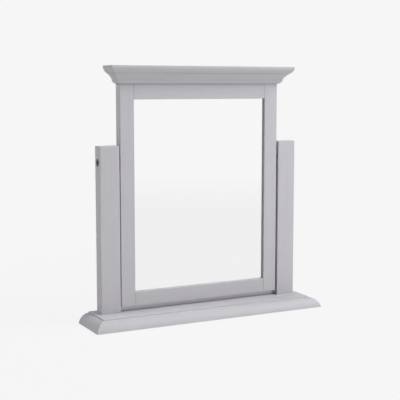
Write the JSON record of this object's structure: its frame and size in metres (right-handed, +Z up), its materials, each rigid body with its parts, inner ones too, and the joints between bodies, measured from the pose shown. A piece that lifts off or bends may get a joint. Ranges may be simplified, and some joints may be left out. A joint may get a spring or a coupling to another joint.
{
  "type": "dressing table mirror",
  "caption": "Free-standing swing mirror: a corniced rectangular frame tilts on pivot bolts between two posts on a moulded base.",
  "frame": {"origin": "on the table top, under the middle of the base", "axes": "+X to the right as seen from the front, +Y to the back, +Z up"},
  "size_m": [0.56, 0.112, 0.559],
  "materials": {
    "grey_paint": "satin paint on close-grained wood",
    "mirror_glass": "silvered float glass",
    "back_board": "sealed fibreboard",
    "bare_wood": "planed beech",
    "dark_bolt": "black oxide",
    "steel_screw": "zinc plated",
    "brass_insert": "turned",
    "nylon": "moulded",
    "block_rubber": "matt",
    "felt": "pressed wool felt"
  },
  "bodies": {
    "stand": {"base_board": "grey_paint", "felt_pads": "felt", "left_post": "grey_paint", "right_post": "grey_paint", "post_dowels": "bare_wood", "post_screws": "steel_screw", "left_pivot_bush": "nylon", "right_pivot_bush": "nylon", "left_disc_spring": "steel_screw", "right_disc_spring": "steel_screw", "left_spacer_washer": "nylon", "right_spacer_washer": "nylon"},
    "mirror": {"left_stile": "grey_paint", "right_stile": "grey_paint", "top_rail": "grey_paint", "bottom_rail": "grey_paint", "frame_dowels": "bare_wood", "mirror_glass": "mirror_glass", "setting_blocks": "block_rubber", "glazing_strip_left": "bare_wood", "glazing_strip_right": "bare_wood", "glazing_strip_top": "bare_wood", "glazing_strip_bottom": "bare_wood", "back_panel": "back_board", "back_panel_screws": "steel_screw", "cornice_front": "grey_paint", "cornice_left_return": "grey_paint", "cornice_right_return": "grey_paint", "cornice_cap": "grey_paint", "cornice_screws": "steel_screw", "return_pins": "steel_screw", "cap_pins": "steel_screw", "left_pivot_bolt": "dark_bolt", "right_pivot_bolt": "dark_bolt", "left_insert_nut": "brass_insert", "right_insert_nut": "brass_insert"}
  },
  "joints": [
    {"name": "mirror_tilt", "type": "hinge", "parent": "stand", "child": "mirror", "pos_m": [0, 0.02425, 0.3537], "axis": [1, 0, 0], "range_deg": [-170, 163]}
  ]
}
